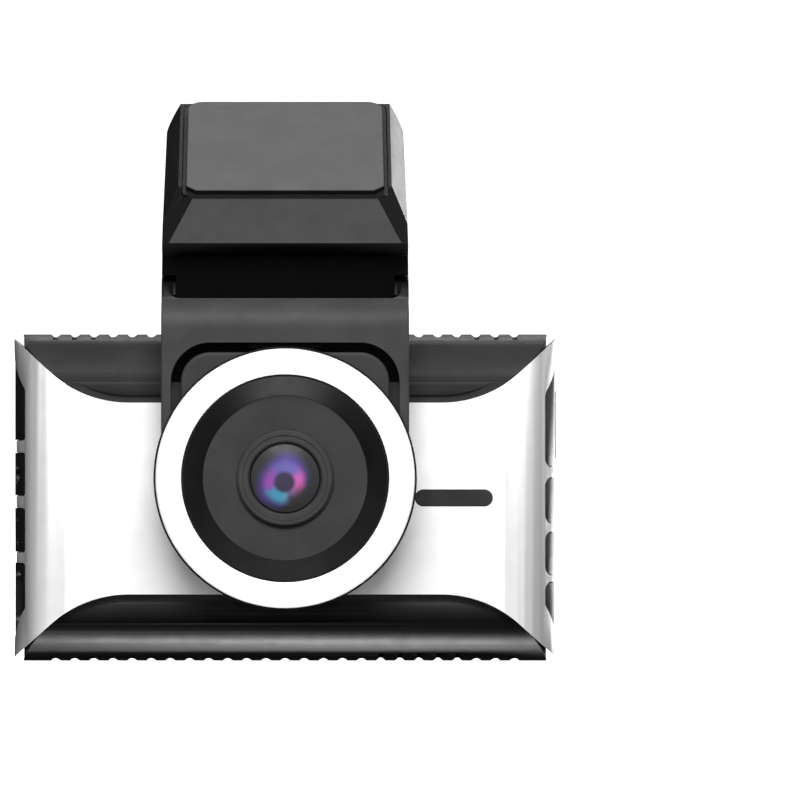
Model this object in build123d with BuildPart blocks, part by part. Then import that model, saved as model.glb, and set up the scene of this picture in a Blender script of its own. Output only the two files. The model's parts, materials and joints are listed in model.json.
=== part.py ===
from build123d import *
import os
from math import cos, radians, sin, tan

# A windscreen dash camera: a wide body with a lens pod on its front, a bracket that slides down over the
# pod, and a wedge-shaped mounting head that tilts on the bracket and sticks to the glass.
# X runs across the body, Y from the lens (negative) to the display (positive), Z up. Millimetres.
# The origin is at the bottom centre of the whole camera.

os.makedirs("parts", exist_ok=True)


# ---------------------------------------------------------------- driving dimensions
body_height = 55.7
mid_z = body_height / 2
core_half_x = 44.6
wall = 1.6
far = 60.0

lens_front_y = -17.3
head_back_y = 17.3
shell_front_y = -5.3
core_front_y = shell_front_y + 0.6
shell_seat_y = shell_front_y + 1.45  # where the core stands back to let the silver shell in
inner_front_y = shell_front_y + 3.0
parting_y = shell_front_y + 12.9
glass_back_y = shell_front_y + 17.5
pod_front_y = shell_front_y - 9.0

edge_roll = 12.0  # radius that turns the black panels from the front to the top and bottom
groove_pitch = 3.26
groove_count = 25
groove_radius = 0.97
groove_depth = 0.5

# silver front shell
shell_half_x = 46.1
shell_wall = 1.4
shell_corner = 9.0
shell_back_y = shell_front_y + 15.0
shell_bow = 0.5
waist_half_z = 16.2
waist_flat_x = 26.5
waist_radius = 19.5
waist_slope = radians(42.0)
valley_width = 1.3
valley_depth = 0.6

# side windows, as (lowest, highest) Z
key_windows = [(33.1, 50.6), (23.6, 31.4), (14.8, 22.2), (4.7, 13.7)]
port_windows = [(37.6, 51.3), (28.2, 35.6), (18.6, 26.2), (4.2, 16.9)]
window_front_y = shell_front_y + 3.3
window_back_y = shell_front_y + 11.8
window_cut_y, window_cut_z = 4.0, 5.0
insert_half_x = 45.95
insert_gap = 0.25
insert_back_x = 43.2
tab_front_y = window_back_y - 3.5

# lens pod and ring
lens_z = 31.4
pod_half_x = 17.5
pod_top_z = 52.5
pod_corner = 5.0
pod_wall = 1.8
ring_radius = 21.7
ring_bore = 17.4
flange_radius = 22.05
flange_front_y = lens_front_y + 1.5
flange_back_y = flange_front_y + 1.2
surround_radius = 13.8
surround_y = lens_front_y + 3.3
barrel_flange = 8.15
barrel_radius = 7.0
barrel_bore = 6.0
barrel_front_y = surround_y - 0.9
front_lens_curve = 15.4

# bracket
bracket_half_x = 20.8
arm = 1.6
arm_gap = 1.65
arm_low_z = 28.0
arm_back_y = shell_front_y - 0.3
lip_roll = 5.5
lip_roll_z = 56.4
crown_back_y = 0.6
hinge_y, hinge_z = -5.5, 60.2
pin_radius = 1.0
pin_half = 20.2
cheek_inner_x = 18.9
cheek_flare_x = 19.5
cheek_radius = 5.4
trough_radius = 4.4
trough_lean = radians(15.0)
trough_depth = 13.0
knuckle_radius = 3.9
knuckle_half = 18.4
washer_radius = 5.35
tongue_y = shell_front_y - 3.6
tongue_thickness = 1.4
tongue_tip_x = 16.8
slot_stop_z = 29.6

# mounting head
nose_y, nose_z = pod_front_y, 70.8
brow_y, brow_z = nose_y + 3.7, 78.3
ceiling_z = 68.6
head_slope = radians(32.0)
head_low_z = 65.5
head_top_y = head_back_y - 0.3
head_back_radius = 2.6
bevel_inner_x = 18.0
bevel_run = 2.3
bevel_drop = 3.7
power_socket_z = 71.5
socket_post_radius = 1.5
pad_half_x = 16.7
pad_thickness = 0.9
cover_thickness = 1.6

# boards and screws
board_front_y = shell_front_y + 7.8
board_back_y = board_front_y + 1.2
screw_spots = [(-36.5, 4.6), (36.5, 4.6), (-22.5, 51.1), (22.5, 51.1)]
boss_radius = 1.75
boss_front_y = shell_front_y + 6.3
standoff_spots = [(-31.0, 13.6), (-31.0, 24.4), (34.0, 13.6), (34.0, 42.0)]


# ---------------------------------------------------------------- planes, outlines and small helpers
def front_plane(y, z=0.0, x=0.0):
    """A plane facing the lens side; its local x is X and its local y is Z."""
    return Plane(origin=(x, y, z), x_dir=(1, 0, 0), z_dir=(0, -1, 0))


def side_plane(x, y=0.0, z=0.0):
    """A plane facing +X; its local x is Y and its local y is Z."""
    return Plane(origin=(x, y, z), x_dir=(0, 1, 0), z_dir=(1, 0, 0))


lens_section = side_plane(0, 0, lens_z)
lens_axis = Axis((0, 0, lens_z), (0, 1, 0))
slope_plane = Plane(origin=(0, brow_y, brow_z), x_dir=(1, 0, 0), z_dir=(0, -sin(head_slope), cos(head_slope)))


def save(piece, name):
    piece.part.label = name
    export_step(piece.part, f"parts/{name}.step")


def block(x, y, z, mode=Mode.ADD):
    """A box between two limits on each axis."""
    with Locations(((x[0] + x[1]) / 2, (y[0] + y[1]) / 2, (z[0] + z[1]) / 2)):
        Box(x[1] - x[0], y[1] - y[0], z[1] - z[0], mode=mode)


def turned(points, mode=Mode.ADD):
    """A shape turned about the lens axis, from (y, radius) points."""
    with BuildSketch(lens_section) as section:
        Polygon(*points, align=None)
    revolve(section.sketch, axis=lens_axis, mode=mode)


def rod(x, z, radius, y, mode=Mode.ADD):
    """A cylinder that runs along Y."""
    with Locations(front_plane((y[0] + y[1]) / 2, z, x)):
        Cylinder(radius, y[1] - y[0], mode=mode)


def plan_outline(half_x, front_y, back_y, corner):
    """A box seen from above, with its two front corners rounded."""
    with BuildSketch(mode=Mode.PRIVATE) as plan:
        with Locations((0, (front_y + back_y) / 2)):
            Rectangle(2 * half_x, back_y - front_y)
        fillet(plan.vertices().group_by(Axis.Y)[0], corner)
    return plan.sketch


def hourglass(grow=0.0):
    """The front outline of the silver shell: a flat waist, an arc and a ramp up to each corner.

    A grown outline is for the space round the shell, so it also runs out past the ends.
    """
    radius = waist_radius - grow
    half_z = waist_half_z + grow
    end_x = shell_half_x + 5 * (grow > 0)
    bow = shell_bow * (grow == 0)
    arc_x = waist_flat_x + radius * sin(waist_slope)
    arc_z = half_z + radius * (1 - cos(waist_slope))
    ear_z = arc_z + (end_x - arc_x) * tan(waist_slope)
    with BuildSketch(mode=Mode.PRIVATE) as outline:
        with BuildLine():
            flat = Line((0, half_z), (waist_flat_x, half_z))
            bend = TangentArc(flat @ 1, (arc_x, arc_z), tangent=(1, 0))
            ramp = Line(bend @ 1, (end_x, ear_z))
            if bow:
                ThreePointArc(ramp @ 1, (end_x - bow, ear_z / 3), (end_x - bow, 0))
            else:
                Line(ramp @ 1, (end_x, 0))
            mirror(about=Plane.XZ)
            mirror(about=Plane.YZ)
        make_face()
    return outline.sketch


def pod_outline(grow=0.0):
    """The pod seen from the front, about the lens axis: a half disc below, square shoulders above."""
    half, top = pod_half_x + grow, pod_top_z - lens_z + grow
    with BuildSketch(mode=Mode.PRIVATE) as outline:
        Circle(half)
        with Locations((0, top / 2)):
            Rectangle(2 * half, top)
        fillet(outline.vertices().group_by(Axis.Y)[-1], pod_corner + grow)
    return outline.sketch


def window_outline(windows, number, corner, grow=0.0):
    """One side window, seen from the side. The end windows lose their front outer corner."""
    low, high = windows[number][0] - grow, windows[number][1] + grow
    front, back = window_front_y - grow, window_back_y + grow
    points = [(back, high), (back, low)]
    if number == len(windows) - 1:
        points += [(front + window_cut_y, low), (front, low + window_cut_z)]
    else:
        points += [(front, low)]
    if number == 0:
        points += [(front, high - window_cut_z), (front + window_cut_y, high)]
    else:
        points += [(front, high)]
    with BuildSketch(mode=Mode.PRIVATE) as outline:
        Polygon(*points, align=None)
        fillet(outline.vertices(), corner)
    return outline.sketch


# ---------------------------------------------------------------- silver front shell
with BuildPart() as front_shell:
    with BuildSketch(Plane.XY):
        add(plan_outline(shell_half_x, shell_front_y, shell_back_y, shell_corner))
        add(
            plan_outline(
                shell_half_x - shell_wall, shell_front_y + shell_wall, far, shell_corner - shell_wall
            ),
            mode=Mode.SUBTRACT,
        )
    extrude(amount=body_height)
    with BuildSketch(front_plane(shell_front_y - 1, mid_z)):
        add(hourglass())
    extrude(amount=-far, mode=Mode.INTERSECT)
    with BuildSketch(front_plane(shell_front_y - 1, lens_z)):
        add(pod_outline(grow=0.15))
    extrude(amount=-5, mode=Mode.SUBTRACT)
    with BuildSketch(front_plane(shell_front_y - 1, lens_z - 3.45)):
        with Locations((28.5, 0)):
            SlotOverall(13.2, 2.9)
    extrude(amount=-5, mode=Mode.SUBTRACT)
    with BuildSketch(Plane.YZ):
        for n in range(4):
            add(window_outline(key_windows, n, corner=1.5))
    extrude(amount=far, mode=Mode.SUBTRACT)
    with BuildSketch(Plane.YZ):
        for n in range(4):
            add(window_outline(port_windows, n, corner=0.6))
    extrude(amount=-far, mode=Mode.SUBTRACT)
save(front_shell, "front_shell")


# ---------------------------------------------------------------- black body halves
with BuildPart(mode=Mode.PRIVATE) as shell_space:
    with BuildSketch(front_plane(shell_front_y - 1, mid_z)):
        add(hourglass(grow=0.1))
    extrude(amount=-far)
    with BuildSketch(Plane.XY):
        add(plan_outline(core_half_x, shell_seat_y, far + 1, shell_corner - shell_wall))
    extrude(amount=body_height, mode=Mode.SUBTRACT)

with BuildPart(mode=Mode.PRIVATE) as valley:
    with BuildSketch(front_plane(shell_front_y - 1, mid_z)):
        add(hourglass(grow=valley_width))
    extrude(amount=-far)
    with BuildSketch(Plane.XY):
        add(
            plan_outline(
                core_half_x - valley_depth / 2,
                core_front_y + valley_depth,
                far + 1,
                shell_corner - shell_wall + 0.2,
            )
        )
    extrude(amount=body_height, mode=Mode.SUBTRACT)

with BuildPart(mode=Mode.PRIVATE) as core_outside:
    with BuildSketch(Plane.XY):
        add(plan_outline(core_half_x, core_front_y, parting_y, shell_corner - 0.8))
    extrude(amount=body_height)
    with BuildSketch(side_plane(-far)):
        with Locations(((core_front_y + far) / 2, mid_z)):
            rolled = Rectangle(far - core_front_y, body_height)
        fillet(rolled.vertices().group_by(Axis.X)[0], edge_roll)
    extrude(amount=2 * far, mode=Mode.INTERSECT)
    add(shell_space.part, mode=Mode.SUBTRACT)
    add(valley.part, mode=Mode.SUBTRACT)

with BuildPart(mode=Mode.PRIVATE) as core_hollow:
    with BuildSketch(Plane.XY.offset(wall)):
        add(plan_outline(core_half_x - wall, inner_front_y, parting_y + 1, shell_corner - 3.1))
    extrude(amount=body_height - 2 * wall)
    with BuildSketch(side_plane(-far)):
        with Locations(((inner_front_y + far) / 2, mid_z)):
            inner = Rectangle(far - inner_front_y, body_height - 2 * wall)
        fillet(inner.vertices().group_by(Axis.X)[0], edge_roll - 2.0)
    extrude(amount=2 * far, mode=Mode.INTERSECT)

with BuildPart() as core_housing:
    add(core_outside.part)
    add(core_hollow.part, mode=Mode.SUBTRACT)
    for x, z in screw_spots:
        rod(x, z, boss_radius, (boss_front_y, parting_y))
        rod(x, z, 0.8, (boss_front_y + 1.2, parting_y + 1), mode=Mode.SUBTRACT)
    # opening behind the lens pod, and the slot for the status light
    block((-12.6, 12.6), (shell_front_y - 2, inner_front_y + 1), (lens_z - 12.6, lens_z + 12.6), Mode.SUBTRACT)
    block((24, 33), (shell_front_y - 2, inner_front_y + 1), (lens_z - 4.2, lens_z - 2.7), Mode.SUBTRACT)
    # side openings behind the keys and the sockets
    with BuildSketch(Plane.YZ.offset(39.4)):
        for n in range(4):
            add(window_outline(key_windows, n, corner=0.6, grow=0.55))
    extrude(amount=far, mode=Mode.SUBTRACT)
    with BuildSketch(Plane.YZ.offset(-39.4)):
        for n in range(4):
            add(window_outline(port_windows, n, corner=0.6, grow=0.55))
    extrude(amount=-far, mode=Mode.SUBTRACT)
    block(
        (-far, -43.1),
        (tab_front_y - 0.1, window_back_y + 0.5),
        (port_windows[3][0] + 1.8, 49.7),
        Mode.SUBTRACT,
    )
    # thin vents along six of the top grooves, and the speaker slots along five of the lower ones
    for n in (-12, -11, -10, 10, 11, 12):
        x = n * groove_pitch
        block(
            (x - 0.4, x + 0.4),
            (parting_y - 5, parting_y - 0.8),
            (body_height - 4, body_height),
            Mode.SUBTRACT,
        )
    for n in (5, 6, 7, 8, 9):
        x = n * groove_pitch
        block((x - 0.4, x + 0.4), (parting_y - 6, parting_y - 0.8), (-1, wall + 1), Mode.SUBTRACT)
    for z in (body_height - groove_depth + groove_radius, groove_depth - groove_radius):
        for n in range(groove_count):
            rod((n - (groove_count - 1) / 2) * groove_pitch, z, groove_radius, (-far, far), Mode.SUBTRACT)
save(core_housing, "core_housing")

with BuildPart() as rear_bezel:
    block((-core_half_x, core_half_x), (parting_y, glass_back_y), (0, body_height))
    fillet(rear_bezel.faces().sort_by(Axis.Y)[-1].edges(), 1.2)
    block(
        (-core_half_x + wall, core_half_x - wall),
        (parting_y - 1, glass_back_y - 2.9),
        (wall, body_height - wall),
        Mode.SUBTRACT,
    )
    with BuildSketch(front_plane(glass_back_y, mid_z)):
        RectangleRounded(86.2, 49.8, 3.1)
    extrude(amount=1.05, mode=Mode.SUBTRACT)
    block((-36.2, 36.2), (parting_y, glass_back_y + 1), (mid_z - 20.95, mid_z + 20.95), Mode.SUBTRACT)
    for x, z in screw_spots:
        rod(x, z, boss_radius, (parting_y, glass_back_y - 2.5))
        rod(x, z, 0.9, (parting_y - 1, glass_back_y), mode=Mode.SUBTRACT)
        rod(x, z, 1.55, (glass_back_y - 2.0, glass_back_y), mode=Mode.SUBTRACT)
    for z in (body_height - groove_depth + groove_radius, groove_depth - groove_radius):
        for n in range(groove_count):
            rod((n - (groove_count - 1) / 2) * groove_pitch, z, groove_radius, (-far, far), Mode.SUBTRACT)
save(rear_bezel, "rear_bezel")

with BuildPart() as housing_screws:
    for x, z in screw_spots:
        rod(x, z, 1.5, (glass_back_y - 2.0, glass_back_y - 1.15))
        rod(x, z, 0.8, (boss_front_y + 1.6, glass_back_y - 2.0))
        block(
            (x - 0.25, x + 0.25), (glass_back_y - 1.5, glass_back_y), (z - 1.0, z + 1.0), Mode.SUBTRACT
        )
        block(
            (x - 1.0, x + 1.0), (glass_back_y - 1.5, glass_back_y), (z - 0.25, z + 0.25), Mode.SUBTRACT
        )
save(housing_screws, "housing_screws")


# ---------------------------------------------------------------- display
with BuildPart() as display_gasket:
    with BuildSketch(front_plane(glass_back_y - 1.05, mid_z)):
        RectangleRounded(85.9, 49.5, 2.9)
        Rectangle(72.6, 42.1, mode=Mode.SUBTRACT)
    extrude(amount=-0.25)
save(display_gasket, "display_gasket")

with BuildPart() as display_glass:
    with BuildSketch(front_plane(glass_back_y - 0.8, mid_z)):
        RectangleRounded(85.9, 49.5, 2.9)
    extrude(amount=-0.8)
    chamfer(display_glass.faces().sort_by(Axis.Y)[-1].edges(), 0.2)
save(display_glass, "display_glass")

with BuildPart() as lcd_panel:
    block((-36, 36), (glass_back_y - 2.3, glass_back_y - 0.8), (mid_z - 20.75, mid_z + 20.75))
save(lcd_panel, "lcd_panel")

with BuildPart() as backlight:
    block((-36, 36), (glass_back_y - 3.3, glass_back_y - 2.3), (mid_z - 20.75, mid_z + 20.75))
save(backlight, "backlight")


# ---------------------------------------------------------------- main electronics
with BuildPart() as main_board:
    block((-39, 39), (board_front_y, board_back_y), (8.8, 46.9))
    for x, z in standoff_spots:
        rod(x, z, 1.1, (board_front_y - 1, board_back_y + 1), Mode.SUBTRACT)
    # notch for the round jack, which is sunk into the board's edge
    block((-40, -31.4), (board_front_y - 1, board_back_y + 1), (29.4, 34.4), Mode.SUBTRACT)
save(main_board, "main_board")

with BuildPart() as board_standoffs:
    for x, z in standoff_spots:
        rod(x, z, 1.6, (inner_front_y, board_front_y))
        rod(x, z, 1.05, (board_front_y, board_back_y))
        rod(x, z, 1.8, (board_back_y, board_back_y + 0.8))
save(board_standoffs, "board_standoffs")

with BuildPart() as processor:
    block((-26, -14), (board_front_y - 1.1, board_front_y), (29, 41))
save(processor, "processor")

with BuildPart() as memory_chips:
    block((-29, -19), (board_front_y - 1.0, board_front_y), (16, 25))
    block((17, 25), (board_front_y - 1.0, board_front_y), (36, 42))
save(memory_chips, "memory_chips")

with BuildPart() as thermal_pad:
    block((-26, -14), (board_front_y - 1.6, board_front_y - 1.1), (29, 41))
save(thermal_pad, "thermal_pad")

with BuildPart() as heat_sink:
    block((-30, -13.5), (board_front_y - 2.4, board_front_y - 1.6), (27.5, 42.5))
    for n in range(8):
        x = -29.8 + 2.2 * n
        block((x, x + 0.8), (board_front_y - 3.9, board_front_y - 2.4), (27.5, 42.5))
save(heat_sink, "heat_sink")

with BuildPart() as speaker:
    with BuildSketch(Plane.XY.offset(wall + 0.7)):
        with Locations((22.8, glass_back_y - 5.5)):
            RectangleRounded(18, 4.8, 1.5)
    extrude(amount=3.6)
    with BuildSketch(Plane.XY.offset(wall + 0.7)):
        with Locations((22.8, glass_back_y - 5.5)):
            RectangleRounded(15, 3.2, 1.2)
    extrude(amount=0.8, mode=Mode.SUBTRACT)
save(speaker, "speaker")

with BuildPart() as microphone:
    block((-38.8, -35.2), (board_front_y - 1.2, board_front_y), (20.6, 24.2))
    rod(-37.0, 22.4, 0.5, (board_front_y - 1.5, board_front_y - 0.6), Mode.SUBTRACT)
save(microphone, "microphone")

with BuildPart() as supercapacitors:
    for z in (15.0, 21.0, 27.0):
        with Locations(Plane(origin=(0, board_back_y + 2.4, z), z_dir=(1, 0, 0))):
            Cylinder(2.4, 14.0)
    chamfer(supercapacitors.edges().filter_by(GeomType.CIRCLE), 0.3)
save(supercapacitors, "supercapacitors")

with BuildPart() as wifi_antenna:
    block((-30, -12), (parting_y - 2.0, parting_y - 0.4), (body_height - wall - 0.6, body_height - wall - 0.3))
    block((-13, -12), (parting_y - 2.0, parting_y - 0.4), (body_height - wall - 4, body_height - wall - 0.3))
save(wifi_antenna, "wifi_antenna")


# ---------------------------------------------------------------- sockets and card, on the left end
card_z = 44.45
with BuildPart() as card_socket:
    block((-43.0, -27.5), (board_back_y, board_back_y + 1.9), (card_z - 6.2, card_z + 6.2))
    block((-60, -29.5), (board_back_y + 0.4, board_back_y + 1.6), (card_z - 5.65, card_z + 5.65), Mode.SUBTRACT)
save(card_socket, "card_socket")

with BuildPart() as memory_card:
    with BuildSketch(front_plane(board_back_y + 0.6)):
        with BuildLine():
            Polyline(
                (-45.3, card_z - 5.5),
                (-31.0, card_z - 5.5),
                (-30.3, card_z - 4.8),
                (-30.3, card_z + 3.0),
                (-36.0, card_z + 3.9),
                (-36.6, card_z + 5.5),
                (-45.3, card_z + 5.5),
                close=True,
            )
        make_face()
    extrude(amount=-0.7)
    block((-45.3, -44.6), (board_back_y + 0.6, board_back_y + 1.45), (card_z - 5.5, card_z + 5.5))
save(memory_card, "memory_card")

jack_z, jack_y = 31.9, 1.6
with BuildPart() as av_socket:
    with Locations(Plane(origin=(-37.6, jack_y, jack_z), z_dir=(1, 0, 0))):
        Cylinder(2.2, 11.0)
    block((-42.0, -33.0), (board_front_y - 0.9, board_front_y), (jack_z - 3.6, jack_z + 3.6))
    with Locations(Plane(origin=(-38.2, jack_y, jack_z), z_dir=(1, 0, 0))):
        Cylinder(1.25, 10.4, mode=Mode.SUBTRACT)
save(av_socket, "av_socket")

usb_z, usb_y = 10.9, 0.85
with BuildPart() as usb_socket:
    with BuildSketch(side_plane(-43.2, usb_y, usb_z)):
        SlotOverall(9.0, 3.26, rotation=90)
    extrude(amount=7.6)
    with BuildSketch(side_plane(-43.2, usb_y, usb_z)):
        SlotOverall(8.4, 2.6, rotation=90)
    extrude(amount=6.2, mode=Mode.SUBTRACT)
    block((-42.4, -37.0), (usb_y - 0.35, usb_y + 0.35), (usb_z - 3.3, usb_z + 3.3))
save(usb_socket, "usb_socket")

with BuildPart() as side_port_panel:
    with BuildSketch(Plane.XY):
        add(plan_outline(insert_half_x, shell_front_y + 0.15, shell_back_y, shell_corner))
    extrude(amount=body_height)
    with BuildSketch(Plane.YZ):
        for n in range(4):
            add(window_outline(port_windows, n, corner=0.45, grow=-0.12))
    extrude(amount=-far, mode=Mode.INTERSECT)
    block((-insert_back_x, far), (-far, far), (-far, far), Mode.SUBTRACT)
    block((-44.5, -insert_back_x), (tab_front_y, window_back_y + 0.4), (port_windows[3][0] + 2, 49.5))
    for low, high in port_windows:
        block((-60, -40), (-far, tab_front_y - far), (low, high), Mode.SUBTRACT)
    # card slot, round jack hole, microphone hole, reset hole and power socket opening
    block((-60, -40), (board_back_y + 0.35, board_back_y + 1.75), (card_z - 5.85, card_z + 5.85), Mode.SUBTRACT)
    with BuildSketch(side_plane(-60, jack_y, jack_z)):
        Circle(1.7)
    extrude(amount=20, mode=Mode.SUBTRACT)
    with BuildSketch(side_plane(-60, 1.0, 22.4)):
        with Locations((0, 1.9), (0, -1.9)):
            Circle(0.45)
    extrude(amount=20, mode=Mode.SUBTRACT)
    with BuildSketch(side_plane(-60, usb_y, usb_z)):
        SlotOverall(9.4, 3.6, rotation=90)
    extrude(amount=20, mode=Mode.SUBTRACT)
save(side_port_panel, "side_port_panel")


# ---------------------------------------------------------------- keys, on the right end
def key(name, number):
    """One key: a cap that fills its window, a tab that stops it leaving the shell, and a stem."""
    low, high = key_windows[number]
    middle = (low + high) / 2
    with BuildPart() as cap:
        with BuildSketch(Plane.XY):
            add(plan_outline(insert_half_x, shell_front_y + 0.15, shell_back_y, shell_corner))
        extrude(amount=body_height)
        with BuildSketch(Plane.YZ) as cap_outline:
            add(window_outline(key_windows, number, corner=1.25, grow=-insert_gap))
        extrude(amount=far, mode=Mode.INTERSECT)
        block((-far, insert_back_x), (-far, far), (-far, far), Mode.SUBTRACT)
        block((insert_back_x, 44.5), (tab_front_y, window_back_y + 0.35), (low + 0.6, high - 0.6))
        block((42.45, insert_back_x + 0.1), (3.0, 4.6), (middle - 1.0, middle + 1.0))
        if number == 0:
            # the long key has a raised finger edge
            block((45.5, 46.1), (4.4, 5.4), (34.6, 46.0))
    save(cap, name)


for position, label in enumerate(["power_key", "menu_key", "up_key", "down_key"]):
    key(label, position)

key_middles = [(low + high) / 2 for low, high in key_windows]
with BuildPart() as key_board:
    block((39.9, 41.0), (0.6, 7.0), (6.0, 48.5))
save(key_board, "key_board")

with BuildPart() as tact_switches:
    for z in key_middles:
        block((41.0, 41.7), (2.2, 5.4), (z - 1.6, z + 1.6))
        with Locations(Plane(origin=(41.85, 3.8, z), z_dir=(1, 0, 0))):
            Cylinder(0.8, 0.3)
save(tact_switches, "tact_switches")


# ---------------------------------------------------------------- status light
with BuildPart() as status_window:
    with BuildSketch(front_plane(shell_front_y + 0.05, lens_z - 3.45)):
        with Locations((28.5, 0)):
            SlotOverall(13.05, 2.75)
    extrude(amount=-1.35)
save(status_window, "status_window")

with BuildPart() as status_led:
    block((26.5, 30.5), (shell_seat_y, shell_seat_y + 1.0), (lens_z - 4.1, lens_z - 2.8))
    block((24.5, 32.5), (shell_seat_y + 1.0, inner_front_y + 0.8), (lens_z - 4.1, lens_z - 2.8))
save(status_led, "status_led")


# ---------------------------------------------------------------- lens pod
with BuildPart() as lens_pod:
    with BuildSketch(front_plane(0, lens_z)):
        add(pod_outline())
    extrude(amount=-pod_front_y)
    fillet(lens_pod.faces().sort_by(Axis.Y)[0].edges(), 0.5)
    with BuildSketch(front_plane(0, lens_z)):
        add(pod_outline(grow=-pod_wall))
    extrude(amount=-pod_front_y - 1.5, mode=Mode.SUBTRACT)
    add(core_outside.part, mode=Mode.SUBTRACT)
    rod(0, lens_z, 15.6, (pod_front_y - 1, pod_front_y + 3), Mode.SUBTRACT)
    # slots for the bracket's tongues, closed at the bottom and open at the top
    for side in (-1, 1):
        block(
            tuple(sorted((side * (pod_half_x - 1.0), side * (pod_half_x + 1)))),
            (tongue_y - 0.95, tongue_y + 0.95),
            (slot_stop_z, pod_top_z + 1),
            Mode.SUBTRACT,
        )
save(lens_pod, "lens_pod")

with BuildPart() as contact_pads:
    for n in range(4):
        x = -4.5 + 3.0 * n
        block((x - 0.8, x + 0.8), (-11.6, -9.8), (pod_top_z, pod_top_z + 0.1))
save(contact_pads, "contact_pads")

with BuildPart() as lens_cone:
    turned(
        [
            (lens_front_y + 0.3, ring_bore - 0.1),
            (flange_front_y, ring_bore - 0.1),
            (flange_front_y, flange_radius),
            (flange_back_y, flange_radius),
            (flange_back_y, 17.0),
            (pod_front_y, 17.0),
            (pod_front_y, 15.5),
            (pod_front_y + 2.0, 15.5),
            (pod_front_y + 2.0, 12.5),
            (surround_y + 1.0, 12.5),
            (surround_y + 1.0, surround_radius + 0.05),
            (surround_y, surround_radius + 0.05),
            (lens_front_y + 0.3, ring_bore - 0.35),
        ]
    )
save(lens_cone, "lens_cone")

with BuildPart() as ring_trim:
    turned(
        [
            (lens_front_y, ring_bore + 0.15),
            (lens_front_y, ring_radius - 0.7),
            (lens_front_y + 0.18, ring_radius - 0.25),
            (lens_front_y + 0.6, ring_radius),
            (flange_front_y, ring_radius),
            (flange_front_y, ring_bore),
            (lens_front_y + 0.15, ring_bore),
        ]
    )
save(ring_trim, "ring_trim")

with BuildPart() as lens_surround:
    turned(
        [
            (surround_y, barrel_flange + 0.05),
            (surround_y, surround_radius),
            (surround_y + 1.0, surround_radius),
            (surround_y + 1.0, barrel_flange + 0.05),
        ]
    )
save(lens_surround, "lens_surround")

with BuildPart() as lens_barrel:
    turned(
        [
            (barrel_front_y, 7.2),
            (barrel_front_y, barrel_flange - 0.4),
            (barrel_front_y + 0.4, barrel_flange),
            (surround_y + 1.6, barrel_flange),
            (surround_y + 1.6, barrel_radius),
            (-4.6, barrel_radius),
            (-4.6, 5.0),
            (-6.4, 5.0),
            (-6.4, 4.5),
            (-9.2, 4.5),
            (-9.2, barrel_bore),
            (barrel_front_y + 2.0, barrel_bore),
            (barrel_front_y + 0.7, 7.2),
        ]
    )
save(lens_barrel, "lens_barrel")

with BuildPart() as lens_retaining_ring:
    turned(
        [
            (barrel_front_y + 0.15, 6.3),
            (barrel_front_y + 0.15, 7.15),
            (barrel_front_y + 0.7, 7.15),
            (barrel_front_y + 1.2, 6.65),
            (barrel_front_y + 0.75, 5.95),
        ]
    )
save(lens_retaining_ring, "lens_retaining_ring")

with BuildPart() as front_lens:
    rod(0, lens_z, 5.85, (barrel_front_y - 1, barrel_front_y + 2.4))
    with Locations((0, barrel_front_y - 0.35 + front_lens_curve, lens_z)):
        Sphere(front_lens_curve, mode=Mode.INTERSECT)
save(front_lens, "front_lens")

with BuildPart() as iris:
    turned(
        [
            (barrel_front_y + 2.55, 2.1),
            (barrel_front_y + 2.55, 5.9),
            (barrel_front_y + 2.9, 5.9),
            (barrel_front_y + 2.9, 2.1),
        ]
    )
save(iris, "iris")

with BuildPart() as inner_lenses:
    turned([(-11.4, 0), (-11.4, 5.6), (-9.3, 5.9), (-9.3, 0)])
    turned([(-8.9, 0), (-8.9, 4.3), (-6.6, 4.3), (-6.6, 0)])
save(inner_lenses, "inner_lenses")

with BuildPart() as lens_holder:
    with BuildSketch(front_plane(inner_front_y, lens_z)):
        RectangleRounded(18, 18, 1.5)
        Circle(barrel_radius + 0.02, mode=Mode.SUBTRACT)
    extrude(amount=6.5)
    with BuildSketch(front_plane(inner_front_y, lens_z)):
        Rectangle(12.4, 12.4)
        Circle(barrel_radius, mode=Mode.SUBTRACT)
    extrude(amount=1.8, mode=Mode.SUBTRACT)
save(lens_holder, "lens_holder")

with BuildPart() as image_sensor:
    block((-4.5, 4.5), (inner_front_y - 1.2, inner_front_y), (lens_z - 4, lens_z + 4))
save(image_sensor, "image_sensor")

with BuildPart() as sensor_board:
    block((-12, 12), (inner_front_y, inner_front_y + 1.0), (lens_z - 12, lens_z + 12))
save(sensor_board, "sensor_board")

with BuildPart() as sensor_connector:
    block((-5, 5), (inner_front_y + 1.0, board_front_y), (lens_z - 11, lens_z - 8))
save(sensor_connector, "sensor_connector")


# ---------------------------------------------------------------- bracket
def hinge_bar(profile_points, circle_radius, half, radius=0):
    """A bar along X about the hinge axis: a round bottom joined to a straight-sided top."""
    with BuildPart(mode=Mode.PRIVATE) as bar:
        with BuildSketch(side_plane(-half)) as section:
            with Locations((hinge_y, hinge_z)):
                Circle(circle_radius)
            Polygon(*profile_points, align=None)
        extrude(section.sketch, amount=2 * half)
        if radius:
            fillet([edge for face in bar.faces().filter_by(Axis.X) for edge in face.edges()], radius)
    return bar.part


# the front wall of the trough leans forward, to leave the neck room to tilt
trough_front = (hinge_y - trough_radius * cos(trough_lean), hinge_z - trough_radius * sin(trough_lean))
trough = hinge_bar(
    [
        trough_front,
        (trough_front[0] - trough_depth * tan(trough_lean), trough_front[1] + trough_depth),
        (hinge_y + trough_radius, trough_front[1] + trough_depth),
        (hinge_y + trough_radius, hinge_z),
        (hinge_y, hinge_z),
    ],
    trough_radius,
    cheek_inner_x,
    0.9,
)

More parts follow.
